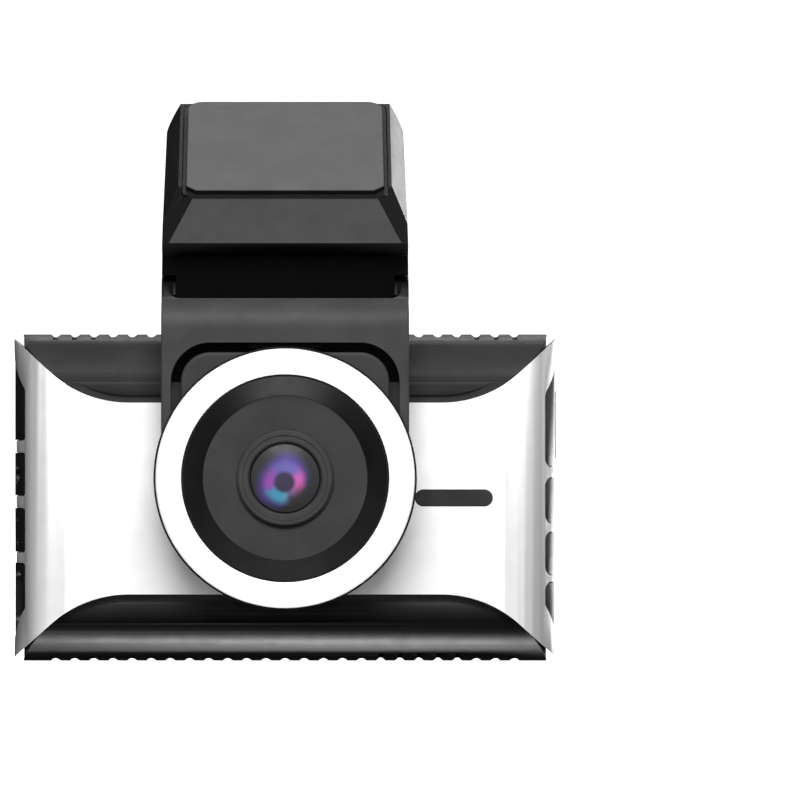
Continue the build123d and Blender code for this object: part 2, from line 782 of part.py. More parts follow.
with BuildPart() as bracket_frame:
    with BuildSketch(side_plane(-bracket_half_x)):
        with BuildLine():
            face = Line((pod_front_y, arm_low_z), (pod_front_y, lip_roll_z))
            roll = TangentArc(
                face @ 1, (pod_front_y + lip_roll, lip_roll_z + lip_roll), tangent=(0, 1)
            )
            Polyline(
                roll @ 1,
                (hinge_y, lip_roll_z + lip_roll),
                (hinge_y, hinge_z),
                (crown_back_y, hinge_z),
                (crown_back_y, hinge_z - 3.2),
                (arm_back_y, pod_top_z + 1.0),
                (arm_back_y, arm_low_z),
                (pod_front_y, arm_low_z),
            )
        make_face()
        with Locations((hinge_y, hinge_z)):
            Circle(cheek_radius)
    extrude(amount=2 * bracket_half_x)
    sides = bracket_frame.faces().filter_by(Axis.X)
    front_edges = [edge for side in sides for edge in side.edges() if edge.center().Y < hinge_y - 5.4]
    fillet(front_edges, 0.35)
    # space between the arms
    inner_half = bracket_half_x - arm
    with BuildSketch(front_plane(0, lens_z)):
        with Locations((0, (pod_top_z + arm_gap - lens_z) / 2 - 10)):
            opening = Rectangle(2 * inner_half, pod_top_z + arm_gap - lens_z + 20)
        fillet(opening.vertices().group_by(Axis.Y)[-1], pod_corner + arm_gap)
    extrude(amount=far, mode=Mode.SUBTRACT)
    add(trough, mode=Mode.SUBTRACT)
    # the pocket is open to the back above the hinge, so that the neck can lean that way
    block((-cheek_inner_x, cheek_inner_x), (hinge_y, far), (hinge_z, 2 * far), Mode.SUBTRACT)
    # its mouth is a little wider, with rounded lower corners
    with BuildSketch(front_plane(hinge_y - 3.1)):
        with Locations((0, lip_roll_z + 5.2 + 10)):
            mouth = Rectangle(2 * cheek_flare_x, 20)
        fillet(mouth.vertices().group_by(Axis.Y)[0], 1.7)
    extrude(amount=far, mode=Mode.SUBTRACT)
    # tongues that run in the pod's slots
    for side in (-1, 1):
        block(
            tuple(sorted((side * tongue_tip_x, side * (inner_half + 0.2)))),
            (tongue_y - tongue_thickness / 2, tongue_y + tongue_thickness / 2),
            (slot_stop_z + 0.4, pod_top_z - pod_corner),
        )
    # blind holes for the hinge pin
    with Locations(Plane(origin=(0, hinge_y, hinge_z), z_dir=(1, 0, 0))):
        Cylinder(pin_radius, 2 * pin_half, mode=Mode.SUBTRACT)
    # seat for the contact block
    block((-6.2, 6.2), (-12.4, -8.6), (pod_top_z, pod_top_z + arm_gap + 0.8), Mode.SUBTRACT)
save(bracket_frame, "bracket_frame")

with BuildPart() as contact_block:
    block((-6.2, 6.2), (-12.4, -8.6), (pod_top_z + 0.7, pod_top_z + arm_gap + 0.8))
save(contact_block, "contact_block")

with BuildPart() as contact_pins:
    for n in range(4):
        with Locations((-4.5 + 3.0 * n, -10.7, pod_top_z + 0.45)):
            Cylinder(0.45, 0.5)
save(contact_pins, "contact_pins")

with BuildPart() as hinge_pin:
    with Locations(Plane(origin=(0, hinge_y, hinge_z), z_dir=(1, 0, 0))):
        Cylinder(pin_radius, 2 * pin_half)
save(hinge_pin, "hinge_pin")

with BuildPart() as hinge_washers:
    for side in (-1, 1):
        middle_x = side * (cheek_inner_x + knuckle_half) / 2
        thickness = cheek_inner_x - knuckle_half - 0.1
        # a wide friction plate, cut back where it stands in the bracket's trough
        with Locations(Plane(origin=(middle_x, hinge_y, hinge_z), z_dir=(1, 0, 0))):
            Cylinder(washer_radius, thickness)
        block((middle_x - 1, middle_x + 1), (-far, far), (-far, lip_roll_z + lip_roll + 0.3), Mode.SUBTRACT)
        with Locations(Plane(origin=(middle_x, hinge_y, hinge_z), z_dir=(1, 0, 0))):
            Cylinder(trough_radius - 0.95, thickness)
            Cylinder(pin_radius, 2, mode=Mode.SUBTRACT)
save(hinge_washers, "hinge_washers")


# ---------------------------------------------------------------- mounting head
lean = radians(10.0)
neck_front = (hinge_y - knuckle_radius * cos(lean), hinge_z + knuckle_radius * sin(lean))
neck_top_z = head_low_z + 2.5
neck_top_y = neck_front[0] - (neck_top_z - neck_front[1]) * tan(lean)
neck = hinge_bar(
    [
        neck_front,
        (neck_top_y, neck_top_z),
        (hinge_y + knuckle_radius, neck_top_z),
        (hinge_y + knuckle_radius, hinge_z),
        (hinge_y, hinge_z),
    ],
    knuckle_radius,
    knuckle_half,
)
top_back_z = brow_z + (head_top_y - brow_y) * tan(head_slope)
under_front_y = neck_front[0] - (head_low_z - neck_front[1]) * tan(lean)

with BuildPart() as head_body:
    with BuildSketch(side_plane(-far)):
        with BuildLine():
            Polyline(
                (nose_y, nose_z),
                (brow_y, brow_z),
                (head_top_y, top_back_z),
                (head_back_y, top_back_z - 4.0),
                (head_back_y, head_low_z),
                (under_front_y, head_low_z),
                (neck_front[0] - (ceiling_z - neck_front[1]) * tan(lean), ceiling_z),
                close=True,
            )
        make_face()
    extrude(amount=2 * far)
    with BuildSketch(front_plane(-far)):
        with BuildLine():
            Polyline(
                (-20.75, head_low_z - 1), (-20.2, 100), (20.2, 100), (20.75, head_low_z - 1), close=True
            )
        make_face()
    extrude(amount=-2 * far, mode=Mode.INTERSECT)
    back_edges = head_body.edges().filter_by(lambda e: e.center().Y > head_back_y - 0.1 and e.length > 20)
    fillet([edge for edge in back_edges if abs(edge.center().X) > 15], head_back_radius)
    # bevels beside the pad, and a facet across each front corner
    for side in (-1, 1):
        bevel_normal = (side * bevel_drop, -bevel_run * tan(head_slope), bevel_run)
        with BuildSketch(Plane(origin=(side * bevel_inner_x, brow_y, brow_z), z_dir=bevel_normal)):
            Rectangle(3 * far, 3 * far)
        extrude(amount=20, mode=Mode.SUBTRACT)
        with BuildSketch(Plane(origin=(side * 15.6, brow_y, brow_z), z_dir=(side * 0.483, -0.658, 0.577))):
            Rectangle(3 * far, 3 * far)
        extrude(amount=20, mode=Mode.SUBTRACT)

gps_depth = 6.4
with BuildPart() as head_posts:
    with BuildSketch(slope_plane.offset(-gps_depth - 1.0)):
        with Locations((-11, 3.5), (11, 3.5), (-11, 20.5), (11, 20.5)):
            Circle(1.3)
    extrude(amount=-30)
    add(head_body.part, mode=Mode.INTERSECT)

with BuildPart() as head_shell:
    add(head_body.part)
    # hollow inside, open at the top under the cover
    with BuildSketch(side_plane(-15.4)):
        Polygon(
            (-10.8, 72.0),
            (-8.7, 77.0),
            (-8.7, 90.0),
            (15.6, 102.0),
            (15.6, head_low_z + 1.7),
            (-8.3, head_low_z + 1.7),
            align=None,
        )
    extrude(amount=30.8, mode=Mode.SUBTRACT)
    with BuildSketch(slope_plane):
        with Locations((0, 16.5)):
            RectangleRounded(34.9, 31.2, 1.6)
    extrude(amount=-cover_thickness, mode=Mode.SUBTRACT)
    add(head_posts.part)
    with Locations(Plane(origin=(0, hinge_y, hinge_z), z_dir=(1, 0, 0))):
        Cylinder(cheek_radius + 0.3, 3 * far, mode=Mode.SUBTRACT)
    add(neck)
    with Locations(Plane(origin=(0, hinge_y, hinge_z), z_dir=(1, 0, 0))):
        Cylinder(pin_radius + 0.06, 3 * far, mode=Mode.SUBTRACT)
    # opening for the power socket at the back
    with BuildSketch(front_plane(head_back_y + 1, power_socket_z)):
        SlotOverall(9.4, 3.6)
    extrude(amount=4, mode=Mode.SUBTRACT)
save(head_shell, "head_shell")

with BuildPart() as power_socket:
    with BuildSketch(front_plane(head_back_y - 0.5, power_socket_z)):
        SlotOverall(9.2, 3.4)
        SlotOverall(8.5, 2.7, mode=Mode.SUBTRACT)
    extrude(amount=7.0)
    with BuildSketch(front_plane(head_back_y - 6.3, power_socket_z)):
        SlotOverall(9.2, 3.4)
    extrude(amount=1.2)
    block((-3.3, 3.3), (head_back_y - 6.4, head_back_y - 1.3), (power_socket_z - 0.35, power_socket_z + 0.35))
save(power_socket, "power_socket")

with BuildPart() as power_board:
    block((-9, 9), (head_back_y - 13.5, head_back_y - 2.0), (power_socket_z - 2.7, power_socket_z - 1.7))
    for x in (-7, 7):
        with Locations((x, head_back_y - 8, (power_socket_z - 2.7 + head_low_z + 1.7) / 2)):
            Cylinder(socket_post_radius, power_socket_z - 2.7 - head_low_z - 1.7)
save(power_board, "power_board")

with BuildPart() as gps_board:
    with BuildSketch(slope_plane.offset(-gps_depth - 1.0)):
        with Locations((0, 12)):
            Rectangle(26, 22)
    extrude(amount=1.0)
save(gps_board, "gps_board")

with BuildPart() as gps_antenna:
    with BuildSketch(slope_plane.offset(-gps_depth)):
        with Locations((0, 12)):
            Rectangle(18, 18)
    extrude(amount=4.0)
    with BuildSketch(slope_plane.offset(-gps_depth + 4.0)):
        with Locations((0, 12)):
            Rectangle(13, 13)
    extrude(amount=0.3)
save(gps_antenna, "gps_antenna")

with BuildPart() as head_cover:
    with BuildSketch(slope_plane.offset(-cover_thickness)):
        with Locations((0, 16.5)):
            RectangleRounded(34.6, 30.9, 1.45)
    extrude(amount=cover_thickness)
save(head_cover, "head_cover")

with BuildPart() as adhesive_pad:
    with BuildSketch(slope_plane):
        with Locations((0, 16.7)):
            pad_face = Rectangle(2 * pad_half_x, 30.4)
        chamfer(pad_face.vertices().group_by(Axis.Y)[0], 3.2, 1.7)
        fillet(pad_face.vertices().group_by(Axis.Y)[-1], 1.2)
    extrude(amount=pad_thickness)
save(adhesive_pad, "adhesive_pad")
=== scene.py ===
import json
import math

import bmesh
import bpy
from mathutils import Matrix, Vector


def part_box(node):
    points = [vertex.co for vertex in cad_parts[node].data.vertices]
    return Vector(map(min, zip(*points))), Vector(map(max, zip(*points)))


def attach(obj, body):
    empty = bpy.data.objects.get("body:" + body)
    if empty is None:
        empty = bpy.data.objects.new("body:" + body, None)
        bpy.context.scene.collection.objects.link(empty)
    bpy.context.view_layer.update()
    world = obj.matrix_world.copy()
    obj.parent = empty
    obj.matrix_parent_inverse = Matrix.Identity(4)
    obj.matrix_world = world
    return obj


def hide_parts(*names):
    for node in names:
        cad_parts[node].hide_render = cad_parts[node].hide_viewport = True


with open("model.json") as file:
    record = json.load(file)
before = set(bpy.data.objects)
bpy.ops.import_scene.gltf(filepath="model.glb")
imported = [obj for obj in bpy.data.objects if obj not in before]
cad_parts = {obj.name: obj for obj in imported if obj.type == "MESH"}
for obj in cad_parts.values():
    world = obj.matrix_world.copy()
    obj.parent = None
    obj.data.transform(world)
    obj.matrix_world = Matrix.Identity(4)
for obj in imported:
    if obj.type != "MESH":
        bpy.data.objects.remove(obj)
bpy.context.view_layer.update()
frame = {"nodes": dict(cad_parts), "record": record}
nodes = frame["nodes"]
MM = 0.001


# ------------------------------------------------------------------ shader helpers
def new_material(name):
    mat = bpy.data.materials.new(name)
    mat.use_nodes = True
    tree = mat.node_tree
    shader = tree.nodes["Principled BSDF"]
    where = tree.nodes.new("ShaderNodeTexCoord")
    return mat, tree, shader, where


def shader_of(mat):
    return mat.node_tree.nodes["Principled BSDF"]


def noise(tree, where, scale, detail=3.0, rough=0.55):
    node = tree.nodes.new("ShaderNodeTexNoise")
    node.inputs["Scale"].default_value = scale
    node.inputs["Detail"].default_value = detail
    node.inputs["Roughness"].default_value = rough
    tree.links.new(where.outputs["Object"], node.inputs["Vector"])
    return node.outputs["Fac"]


def remap(tree, value, low, high, from_low=0.3, from_high=0.7, smooth=False):
    node = tree.nodes.new("ShaderNodeMapRange")
    if smooth:
        node.interpolation_type = "SMOOTHSTEP"
    node.inputs["From Min"].default_value = from_low
    node.inputs["From Max"].default_value = from_high
    node.inputs["To Min"].default_value = low
    node.inputs["To Max"].default_value = high
    tree.links.new(value, node.inputs["Value"])
    return node.outputs["Result"]


def rising(tree, value, start, end):
    """0 below start and 1 above end, with a smooth step between."""
    return remap(tree, value, 0, 1, start, end, smooth=True)


def falling(tree, value, start, end):
    """1 below start and 0 above end, with a smooth step between."""
    return remap(tree, value, 1, 0, start, end, smooth=True)


def math_node(tree, kind, a, b=None):
    node = tree.nodes.new("ShaderNodeMath")
    node.operation = kind
    for socket, value in zip(node.inputs, (a, b)):
        if value is None:
            continue
        if isinstance(value, (int, float)):
            socket.default_value = value
        else:
            tree.links.new(value, socket)
    return node.outputs[0]


def ramp_of(tree, value, stops):
    node = tree.nodes.new("ShaderNodeValToRGB")
    elements = node.color_ramp.elements
    while len(elements) < len(stops):
        elements.new(0.5)
    for element, (position, color) in zip(elements, stops):
        element.position = position
        element.color = (*color, 1)
    tree.links.new(value, node.inputs["Fac"])
    return node.outputs["Color"]


def two_tone(tree, value, dark, light):
    return ramp_of(tree, value, [(0.3, dark), (0.7, light)])


def blend_colors(tree, factor, a, b):
    node = tree.nodes.new("ShaderNodeMix")
    node.data_type = "RGBA"
    tree.links.new(factor, node.inputs[0])
    for socket, color in ((node.inputs[6], a), (node.inputs[7], b)):
        if isinstance(color, tuple):
            socket.default_value = (*color, 1)
        else:
            tree.links.new(color, socket)
    return node.outputs[2]


def darken(mat, factor, color):
    """Blend the material's colour towards another by a factor."""
    tree = mat.node_tree
    target = shader_of(mat).inputs["Base Color"]
    tree.links.new(blend_colors(tree, factor, target.links[0].from_socket, color), target)


def axes_of(mat, kind):
    """The X, Y and Z of the object's own coordinates or of its surface normal."""
    tree = mat.node_tree
    where = tree.nodes.new("ShaderNodeTexCoord")
    axes = tree.nodes.new("ShaderNodeSeparateXYZ")
    tree.links.new(where.outputs[kind], axes.inputs[0])
    return axes.outputs


def bump(tree, shader, height, distance, after=None):
    node = tree.nodes.new("ShaderNodeBump")
    node.inputs["Distance"].default_value = distance
    tree.links.new(height, node.inputs["Height"])
    if after is not None:
        tree.links.new(after, node.inputs["Normal"])
    tree.links.new(node.outputs["Normal"], shader.inputs["Normal"])


# ------------------------------------------------------------------ kinds of material
def moulded(name, color, rough=(0.35, 0.45), grain=0.012, grain_scale=9000, tone=0.12, specular=0.5):
    """A moulded plastic: fine grain, uneven gloss and a slight change of tone."""
    mat, tree, shader, where = new_material(name)
    dark = tuple(c * (1 - tone) for c in color)
    light = tuple(min(1.0, c * (1 + tone)) for c in color)
    tree.links.new(two_tone(tree, noise(tree, where, 160), dark, light), shader.inputs["Base Color"])
    tree.links.new(remap(tree, noise(tree, where, 420), *rough), shader.inputs["Roughness"])
    shader.inputs["Specular IOR Level"].default_value = specular
    bump(tree, shader, noise(tree, where, grain_scale, 2.0), grain * MM)
    return mat


def metal(name, color, rough=(0.25, 0.4), stretch=(1, 1, 1), grain=0.003):
    """A brushed or turned metal: fine streaks in the roughness and the surface."""
    mat, tree, shader, where = new_material(name)
    scale = tree.nodes.new("ShaderNodeMapping")
    scale.inputs["Scale"].default_value = stretch
    tree.links.new(where.outputs["Object"], scale.inputs["Vector"])
    streak = tree.nodes.new("ShaderNodeTexNoise")
    streak.inputs["Scale"].default_value = 2500
    streak.inputs["Detail"].default_value = 2.0
    tree.links.new(scale.outputs["Vector"], streak.inputs["Vector"])
    dark = tuple(c * 0.85 for c in color)
    tree.links.new(two_tone(tree, noise(tree, where, 300), dark, color), shader.inputs["Base Color"])
    tree.links.new(remap(tree, streak.outputs["Fac"], *rough), shader.inputs["Roughness"])
    shader.inputs["Metallic"].default_value = 1.0
    bump(tree, shader, streak.outputs["Fac"], grain * MM)
    return mat


def glass(name, color, alpha, rough=0.03, specular=0.5):
    """A glass that light passes straight through, as far as its alpha lets it."""
    mat, tree, shader, where = new_material(name)
    shader.inputs["Base Color"].default_value = (*color, 1)
    shader.inputs["Alpha"].default_value = alpha
    shader.inputs["IOR"].default_value = 1.6
    shader.inputs["Specular IOR Level"].default_value = specular
    tree.links.new(remap(tree, noise(tree, where, 700), rough, rough + 0.03), shader.inputs["Roughness"])
    bump(tree, shader, noise(tree, where, 120, 1.0), 0.0003 * MM)
    return mat


# ------------------------------------------------------------------ the special materials
def silver_material():
    """Metallic paint, with painted shade that darkens the shell where it turns away to its two ends."""
    mat = moulded(
        "silver_shell", (0.95, 0.95, 0.95), rough=(0.40, 0.46), grain=0.002, grain_scale=14000, tone=0.01
    )
    tree = mat.node_tree
    shader_of(mat).inputs["Metallic"].default_value = 0.5
    end_shade_turn = math_node(tree, "ABSOLUTE", axes_of(mat, "Normal")["X"])
    # painted shade: the colour darkens as the surface turns sideways towards the ends
    darken(mat, rising(tree, end_shade_turn, 0.03, 0.66), (0.46, 0.46, 0.465))
    return mat


def satin_material():
    """The housing's satin plastic, with painted shade that falls off to deep black on the lower panel;
    its roll is glossier.
    """
    mat = moulded(
        "black_satin", (0.024, 0.024, 0.025), rough=(0.40, 0.48), grain=0.010, specular=0.10
    )
    tree = mat.node_tree
    # painted shade on the lower panel: full below the first height, none above the second
    full_shade_below, shade_free_above = 6.0 * MM, 12.0 * MM
    height = axes_of(mat, "Object")["Z"]
    darken(mat, falling(tree, height, full_shade_below, shade_free_above), (0.0015, 0.0015, 0.0015))
    facing_up = axes_of(mat, "Normal")["Z"]
    roll = math_node(
        tree, "MULTIPLY", falling(tree, facing_up, -0.68, -0.48), rising(tree, facing_up, -0.92, -0.78)
    )
    tree.links.new(remap(tree, roll, 0.05, 0.9, 0, 1), shader_of(mat).inputs["Specular IOR Level"])
    return mat


def bracket_material():
    """The bracket's plastic, with painted shade that turns its crown deep black where the head's neck
    stands in it.
    """
    mat = moulded(
        "black_bracket", (0.042, 0.042, 0.043), rough=(0.44, 0.52), grain=0.008, specular=0.10
    )
    # painted shade: the colour turns near black above the crown's height
    crown_shade_start, crown_shade_end = 61.6 * MM, 62.1 * MM
    height = axes_of(mat, "Object")["Z"]
    darken(mat, rising(mat.node_tree, height, crown_shade_start, crown_shade_end), (0.003, 0.003, 0.003))
    return mat


def head_material():
    """The head's plastic: satin in front, with painted shade that turns the side facets, upward faces,
    undersides and neck deep black, and painted light on the hatched right side.
    """
    mat = moulded("black_head", (0.028, 0.028, 0.029), rough=(0.44, 0.52), grain=0.008)
    tree, shader = mat.node_tree, shader_of(mat)
    place, normal = axes_of(mat, "Object"), axes_of(mat, "Normal")
    # painted shade: side facets, upward faces and undersides are darkened by the way they face
    facet_shade_turn = math_node(tree, "ABSOLUTE", normal["X"])
    darken(mat, rising(tree, facet_shade_turn, 0.25, 0.42), (0.007, 0.007, 0.007))
    darken(mat, rising(tree, normal["Z"], 0.62, 0.76), (0.010, 0.010, 0.010))
    darken(mat, falling(tree, normal["Z"], -0.45, -0.15), (0.004, 0.004, 0.004))
    # painted shade: the neck under the nose is darkened to near black
    neck_shade_below, neck_shade_above = 69.4 * MM, 70.6 * MM
    darken(mat, falling(tree, place["Z"], neck_shade_below, neck_shade_above), (0.002, 0.002, 0.002))
    # painted light: the right side is lightened and made glossier, as if lit from the right
    right = rising(tree, normal["X"], 0.66, 0.78)
    darken(mat, right, (0.055, 0.058, 0.057))
    tree.links.new(remap(tree, right, 0.08, 1.0, 0, 1), shader.inputs["Specular IOR Level"])
    # the hatch slants down the right side and shows only where the painted light is
    pitch = 0.75 * MM
    slant = math_node(tree, "ADD", place["Y"], place["Z"])
    wave = math_node(tree, "SINE", math_node(tree, "MULTIPLY", slant, 2 * math.pi / pitch))
    dark_lines = math_node(tree, "MULTIPLY", remap(tree, wave, 0, 0.8, 0, 0.6), right)
    darken(mat, dark_lines, (0.012, 0.013, 0.013))
    grain = shader.inputs["Normal"].links[0].from_socket
    bump(tree, shader, math_node(tree, "MULTIPLY", wave, right), 0.05 * MM, after=grain)
    return mat


def board_material():
    """Solder mask over glass fibre, with a faint weave and copper tracks showing through."""
    mat, tree, shader, where = new_material("board_green")
    brick = tree.nodes.new("ShaderNodeTexBrick")
    brick.inputs["Scale"].default_value = 260
    brick.inputs["Mortar Size"].default_value = 0.06
    brick.inputs["Color1"].default_value = (0.008, 0.060, 0.028, 1)
    brick.inputs["Color2"].default_value = (0.010, 0.075, 0.032, 1)
    brick.inputs["Mortar"].default_value = (0.05, 0.16, 0.06, 1)
    tree.links.new(where.outputs["Object"], brick.inputs["Vector"])
    tree.links.new(brick.outputs["Color"], shader.inputs["Base Color"])
    tree.links.new(remap(tree, noise(tree, where, 900), 0.25, 0.4), shader.inputs["Roughness"])
    bump(tree, shader, brick.outputs["Fac"], 0.02 * MM)
    return mat


def coating_reflection_material(lens_x, lens_z):
    """A painted reflection in the lens coating: violet above, magenta on the right, a cyan crescent at
    the lower left.
    """
    mat, tree, shader, where = new_material("painted_lens_reflection")
    place = axes_of(mat, "Object")
    x = math_node(tree, "SUBTRACT", place["X"], lens_x)
    z = math_node(tree, "SUBTRACT", place["Z"], lens_z)
    squares = math_node(tree, "ADD", math_node(tree, "MULTIPLY", x, x), math_node(tree, "MULTIPLY", z, z))
    radius = math_node(tree, "SQRT", squares)
    wobble = remap(tree, noise(tree, where, 330), -0.25, 0.25)
    angle = math_node(tree, "ADD", math_node(tree, "ARCTAN2", z, x), wobble)
    # the turn runs from the left, through below, right and above, back to the left
    turn = remap(tree, angle, 0, 1, -math.pi, math.pi)
    inner = ramp_of(
        tree,
        turn,
        [
            (0.00, (0.26, 0.07, 0.33)),
            (0.05, (0.20, 0.09, 0.34)),
            (0.12, (0.06, 0.24, 0.38)),
            (0.24, (0.08, 0.30, 0.42)),
            (0.34, (0.22, 0.16, 0.36)),
            (0.43, (0.50, 0.12, 0.38)),
            (0.56, (0.46, 0.11, 0.38)),
            (0.66, (0.14, 0.12, 0.36)),
            (0.82, (0.12, 0.10, 0.34)),
            (0.92, (0.22, 0.07, 0.31)),
            (1.00, (0.26, 0.07, 0.33)),
        ],
    )
    # how far out the colour reaches, from the shortest reach (0) to the longest (1)
    reaches = [
        (0.00, 0.75),
        (0.12, 0.95),
        (0.22, 0.70),
        (0.32, 0.05),
        (0.42, 0.12),
        (0.50, 0.55),
        (0.58, 0.70),
        (0.75, 1.00),
        (0.88, 0.60),
        (1.00, 0.75),
    ]
    reach = ramp_of(tree, turn, [(position, (far, far, far)) for position, far in reaches])
    shortest, longest = 2.6 * MM, 5.4 * MM
    edge = remap(tree, reach, shortest, longest, 0, 1)
    inside_edge = falling(tree, math_node(tree, "SUBTRACT", radius, edge), -1.9 * MM, 0.7 * MM)
    outside_pupil = rising(tree, radius, 1.3 * MM, 2.2 * MM)
    mask = math_node(tree, "MULTIPLY", inside_edge, outside_pupil)
    halo = rising(tree, radius, 2.7 * MM, 4.4 * MM)
    tint = blend_colors(tree, halo, inner, (0.085, 0.055, 0.25))
    pupil = rising(tree, radius, 1.2 * MM, 2.4 * MM)
    ground = blend_colors(tree, pupil, (0.045, 0.038, 0.070), (0.036, 0.036, 0.037))
    tree.links.new(blend_colors(tree, mask, ground, tint), shader.inputs["Base Color"])
    tree.links.new(remap(tree, noise(tree, where, 900), 0.30, 0.42), shader.inputs["Roughness"])
    shader.inputs["Specular IOR Level"].default_value = 0.1
    bump(tree, shader, noise(tree, where, 700, 1.0), 0.001 * MM)
    return mat


# ------------------------------------------------------------------ materials by slot
soft_grain = {"rough": (0.80, 0.95), "grain_scale": 5200}
foam = moulded("foam_grey", (0.080, 0.080, 0.080), grain=0.05, tone=0.06, specular=0.12, **soft_grain)
# painted shade: the pad's sides take a near black foam, for the shade along them
foam_side_shade = moulded("foam_side_shade", (0.006, 0.006, 0.006), grain=0.03, specular=0.05, **soft_grain)

by_slot = {
    "silver_shell": silver_material(),
    "black_satin": satin_material(),
    "black_pod": moulded(
        "black_pod", (0.034, 0.034, 0.035), rough=(0.50, 0.58), grain=0.012, specular=0.10
    ),
    "black_bracket": bracket_material(),
    "black_head": head_material(),
    "white_ring": moulded(
        "white_ring", (0.92, 0.92, 0.92), rough=(0.20, 0.28), grain=0.001, grain_scale=12000, tone=0.01
    ),
    "black_gloss": moulded(
        "black_gloss", (0.008, 0.008, 0.008), rough=(0.40, 0.48), grain=0.001, tone=0.2, specular=0.15
    ),
    "surround_grey": moulded(
        "surround_grey", (0.034, 0.034, 0.035), rough=(0.50, 0.58), grain=0.008, specular=0.12
    ),
    "barrel_black": moulded(
        "barrel_black", (0.036, 0.036, 0.037), rough=(0.50, 0.58), grain=0.003, specular=0.12
    ),
    "lens_glass": glass("lens_glass", (0.03, 0.03, 0.04), 0.10, rough=0.22, specular=0.12),
    "display_glass_mat": glass("display_glass", (0.006, 0.006, 0.008), 0.9, rough=0.02),
    "panel_dark": moulded("panel_dark", (0.008, 0.008, 0.011), rough=(0.08, 0.14), grain=0.0005),
    "insert_black": moulded(
        "insert_black", (0.006, 0.006, 0.006), rough=(0.36, 0.44), grain=0.008, specular=0.3
    ),
    "key_black": moulded(
        "key_black", (0.006, 0.006, 0.006), rough=(0.34, 0.42), grain=0.006, specular=0.3
    ),
    "window_smoke": moulded(
        "window_smoke", (0.028, 0.028, 0.028), rough=(0.10, 0.16), grain=0.0005, tone=0.2
    ),
    "led_white": moulded("led_white", (0.80, 0.82, 0.75), rough=(0.4, 0.5), tone=0.05),
    "foam_grey": foam,
    "gasket_black": moulded(
        "gasket_black", (0.015, 0.015, 0.015), rough=(0.75, 0.9), grain=0.03, grain_scale=4000
    ),
    "board_green": board_material(),
    "chip_black": moulded(
        "chip_black", (0.007, 0.007, 0.007), rough=(0.45, 0.6), grain=0.01, specular=0.2
    ),
    "metal_can": metal("metal_can", (0.60, 0.60, 0.60), rough=(0.28, 0.42), stretch=(1, 1, 0.1)),
    "screw_steel": metal("screw_steel", (0.50, 0.50, 0.51), rough=(0.25, 0.4)),
    "pin_steel": metal("pin_steel", (0.58, 0.58, 0.58), rough=(0.18, 0.3), stretch=(0.1, 1, 1)),
    "sink_aluminium": metal(
        "sink_aluminium", (0.70, 0.70, 0.71), rough=(0.35, 0.5), stretch=(1, 1, 0.1)
    ),
    "thermal_grey": moulded("thermal_grey", (0.30, 0.36, 0.42), rough=(0.7, 0.85), grain=0.02),
    "gold_contact": metal("gold_contact", (0.50, 0.34, 0.13), rough=(0.3, 0.42)),
    "washer_nylon": moulded("washer_nylon", (0.006, 0.006, 0.006), rough=(0.5, 0.6), specular=0.1),
    "ceramic_tan": moulded("ceramic_tan", (0.42, 0.30, 0.20), rough=(0.5, 0.65), grain=0.01),
    "capacitor_sleeve": metal(
        "capacitor_sleeve", (0.10, 0.12, 0.25), rough=(0.3, 0.4), stretch=(0.1, 1, 1)
    ),
    "speaker_black": moulded("speaker_black", (0.03, 0.03, 0.03), rough=(0.45, 0.6)),
    "card_black": moulded("card_black", (0.015, 0.015, 0.017), rough=(0.4, 0.5)),
    "antenna_copper": metal("antenna_copper", (0.72, 0.42, 0.20), rough=(0.3, 0.4)),
}
slot_of = {part["node"]: part["material_slot"] for part in frame["record"]["subparts"]}
for name, obj in nodes.items():
    obj.data.materials.clear()
    obj.data.materials.append(by_slot[slot_of[name]])


# ------------------------------------------------------------------ mesh helpers
def make_object(name, mesh, material):
    obj = bpy.data.objects.new(name, mesh)
    bpy.context.scene.collection.objects.link(obj)
    mesh.materials.append(material)
    return obj


def mesh_from(bm, name, smooth=True):
    mesh = bpy.data.meshes.new(name)
    bmesh.ops.recalc_face_normals(bm, faces=bm.faces)
    bm.to_mesh(mesh)
    bm.free()
    for polygon in mesh.polygons:
        polygon.use_smooth = smooth
    return mesh


def turned_mesh(name, profile, place, steps=96):
    """A mesh turned about an axis, from (along, radius) points; place gives a point for each."""
    bm = bmesh.new()
    rings = []
    for along, radius in profile:
        turns = [2 * math.pi * n / steps for n in range(steps if radius else 1)]
        rings.append([bm.verts.new(place(along, radius, turn)) for turn in turns])
    for a, b in zip(rings, rings[1:]):
        for n in range(steps):
            m = (n + 1) % steps
            bm.faces.new((a[0], b[n], b[m]) if len(a) == 1 else (a[n], b[n], b[m], a[m]))
    return mesh_from(bm, name)


# ------------------------------------------------------------------ the painted coating reflection on the front lens
def painted_lens_reflection():
    """A thin cap just inside the front lens's curved face, which carries the coating's colours as a
    painted reflection.
    """
    low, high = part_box("lens_barrel")
    centre = (low + high) / 2
    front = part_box("front_lens")[0].y / MM
    curve, edge_radius, gap, rings = 15.4, 5.7, 0.1, 12
    cap = []
    for n in range(rings + 1):
        radius = edge_radius * n / rings
        cap.append((front + gap + curve - math.sqrt(curve**2 - radius**2), radius))

    def place(y, radius, turn):
        x, z = radius * MM * math.cos(turn), radius * MM * math.sin(turn)
        return centre.x + x, y * MM, centre.z + z

    # the middle of the painted reflection is a little below the lens's own middle
    colours_x, colours_z = centre.x - 0.1 * MM, centre.z - 0.7 * MM
    # the cap's material is the painted reflection of the coating
    coating = coating_reflection_material(colours_x, colours_z)
    obj = make_object("painted_lens_reflection", turned_mesh("painted_lens_reflection", cap, place), coating)
    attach(obj, "camera")


painted_lens_reflection()


